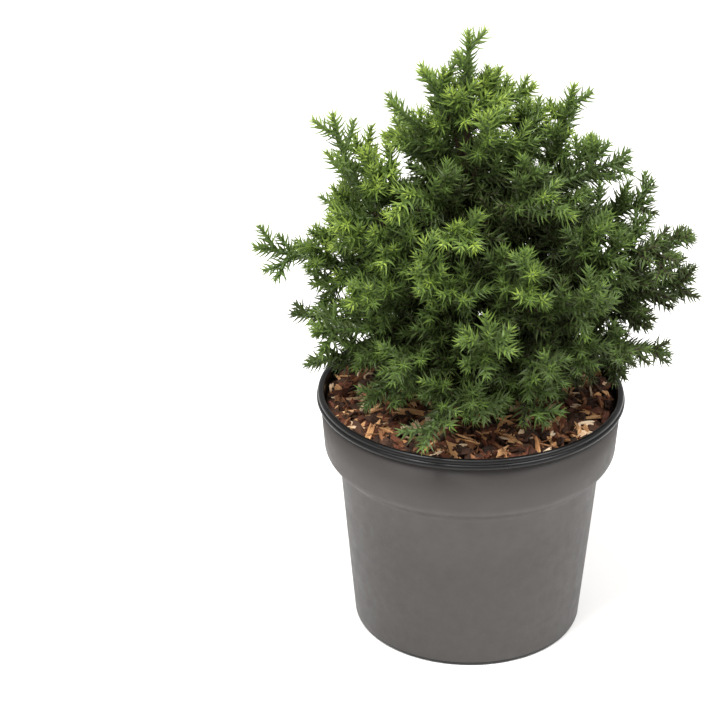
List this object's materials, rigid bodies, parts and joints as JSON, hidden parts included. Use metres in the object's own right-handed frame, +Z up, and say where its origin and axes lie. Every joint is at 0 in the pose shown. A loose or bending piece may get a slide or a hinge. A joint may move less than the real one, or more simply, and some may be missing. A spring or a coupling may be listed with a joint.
{
  "type": "potted dwarf Japanese cedar",
  "caption": "Young bushy evergreen conifer with needled shoots all round a short trunk, standing in a round plastic nursery pot topped with bark mulch.",
  "frame": {"origin": "centre of the pot's flat underside, where the pot stands", "axes": "+Z up along the pot's axis, +X to the right and -Y towards the side that the picture shows"},
  "size_m": [0.2651, 0.2258, 0.3803],
  "materials": {
    "pot_plastic": "satin black-grey moulded plastic with a glossier lip",
    "growing_medium": "dark moist peat and bark compost",
    "bark_mulch": "rough shredded bark with pale splinters",
    "bark": "fibrous red-brown bark",
    "needles": "waxy green needles, yellow-green at the shoot tips"
  },
  "bodies": {
    "root": {"pot": "pot_plastic", "growing_medium": "growing_medium", "bark_mulch": "bark_mulch", "trunk": "bark", "bough_right_upper": "bark", "bough_right_tall": "bark", "bough_left_tall": "bark", "bough_back_mid": "bark", "bough_right_arm_high": "bark", "bough_back_left": "bark", "bough_back_right": "bark", "bough_right_arm": "bark", "bough_front_left": "bark", "bough_left_reach": "bark", "bough_front_right": "bark", "bough_back_low": "bark", "bough_right_reach": "bark", "bough_left_low": "bark", "bough_right_low": "bark", "foliage_leader": "needles", "foliage_top_left": "needles", "foliage_top_right": "needles", "foliage_front_crown": "needles", "foliage_upper_left": "needles", "foliage_back_crown": "needles", "foliage_front_upper_left": "needles", "foliage_back_upper_left": "needles", "foliage_front_upper_right": "needles", "foliage_left_arch": "needles", "foliage_back_upper_right": "needles", "foliage_right_upper": "needles", "foliage_front_high": "needles", "foliage_right_tall": "needles", "foliage_left_tall": "needles", "foliage_back_mid": "needles", "foliage_right_arm_high": "needles", "foliage_front_mid": "needles", "foliage_back_left": "needles", "foliage_front_mid_right": "needles", "foliage_back_right": "needles", "foliage_right_arm": "needles", "foliage_front_left": "needles", "foliage_left_reach": "needles", "foliage_front_right": "needles", "foliage_front_low": "needles", "foliage_back_low": "needles", "foliage_front_left_low": "needles", "foliage_right_reach": "needles", "foliage_front_left_mid": "needles", "foliage_front_right_mid": "needles", "foliage_left_low": "needles", "foliage_right_mid": "needles", "foliage_front_right_low": "needles", "foliage_back_right_low": "needles", "foliage_back_left_low": "needles", "foliage_right_low": "needles", "foliage_skirt_left": "needles", "foliage_skirt_front": "needles", "foliage_left_skirt": "needles", "foliage_skirt_right": "needles"}
  },
  "joints": []
}
